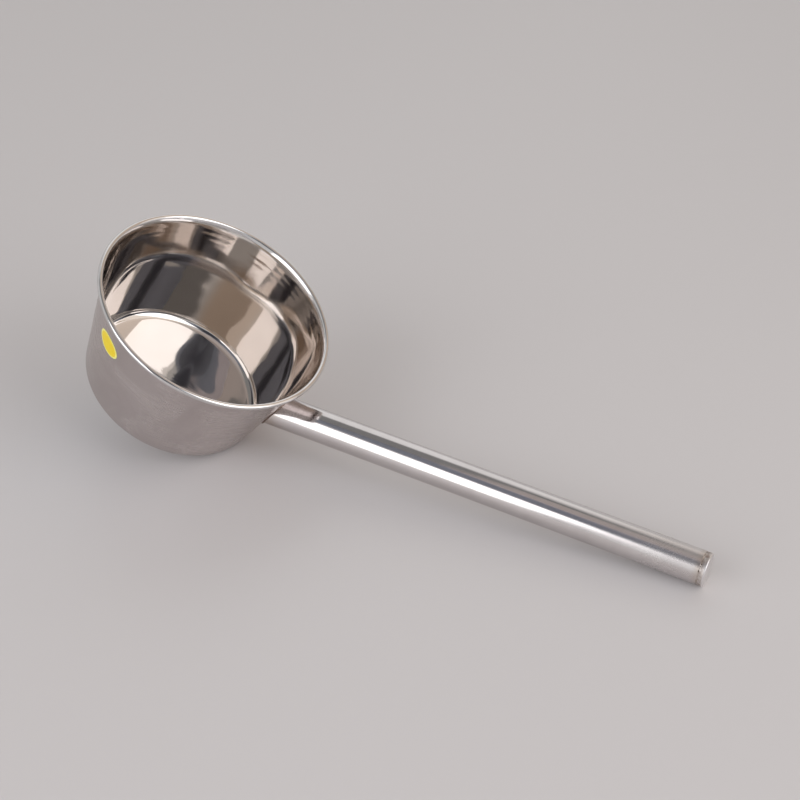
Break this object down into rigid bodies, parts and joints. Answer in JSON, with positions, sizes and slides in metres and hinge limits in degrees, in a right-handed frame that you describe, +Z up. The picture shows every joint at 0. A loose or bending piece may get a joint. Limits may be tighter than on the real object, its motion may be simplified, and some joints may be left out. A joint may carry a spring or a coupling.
{
  "type": "water ladle",
  "caption": "Stainless steel water ladle: a deep tapered bowl with a rolled rim and a straight, capped tube handle welded to its wall, lying tipped on its handle.",
  "frame": {"origin": "on the table under the middle of the ladle's box, as it lies at rest", "axes": "+X along the handle towards its free end, +Z up from the table, +Y to the left of the handle"},
  "size_m": [0.4342, 0.16, 0.136],
  "materials": {
    "polished_steel": "mirror polished inside, satin polished outside",
    "satin_steel": "satin, brushed across the tube",
    "weld_steel": "ground weld with a brown heat tint",
    "label_film": "glossy yellow film with a paler border"
  },
  "bodies": {
    "root": {"bowl": "polished_steel", "handle_tube": "satin_steel", "handle_weld": "weld_steel", "end_cap": "satin_steel", "cap_weld": "weld_steel", "label_sticker": "label_film"}
  },
  "joints": []
}
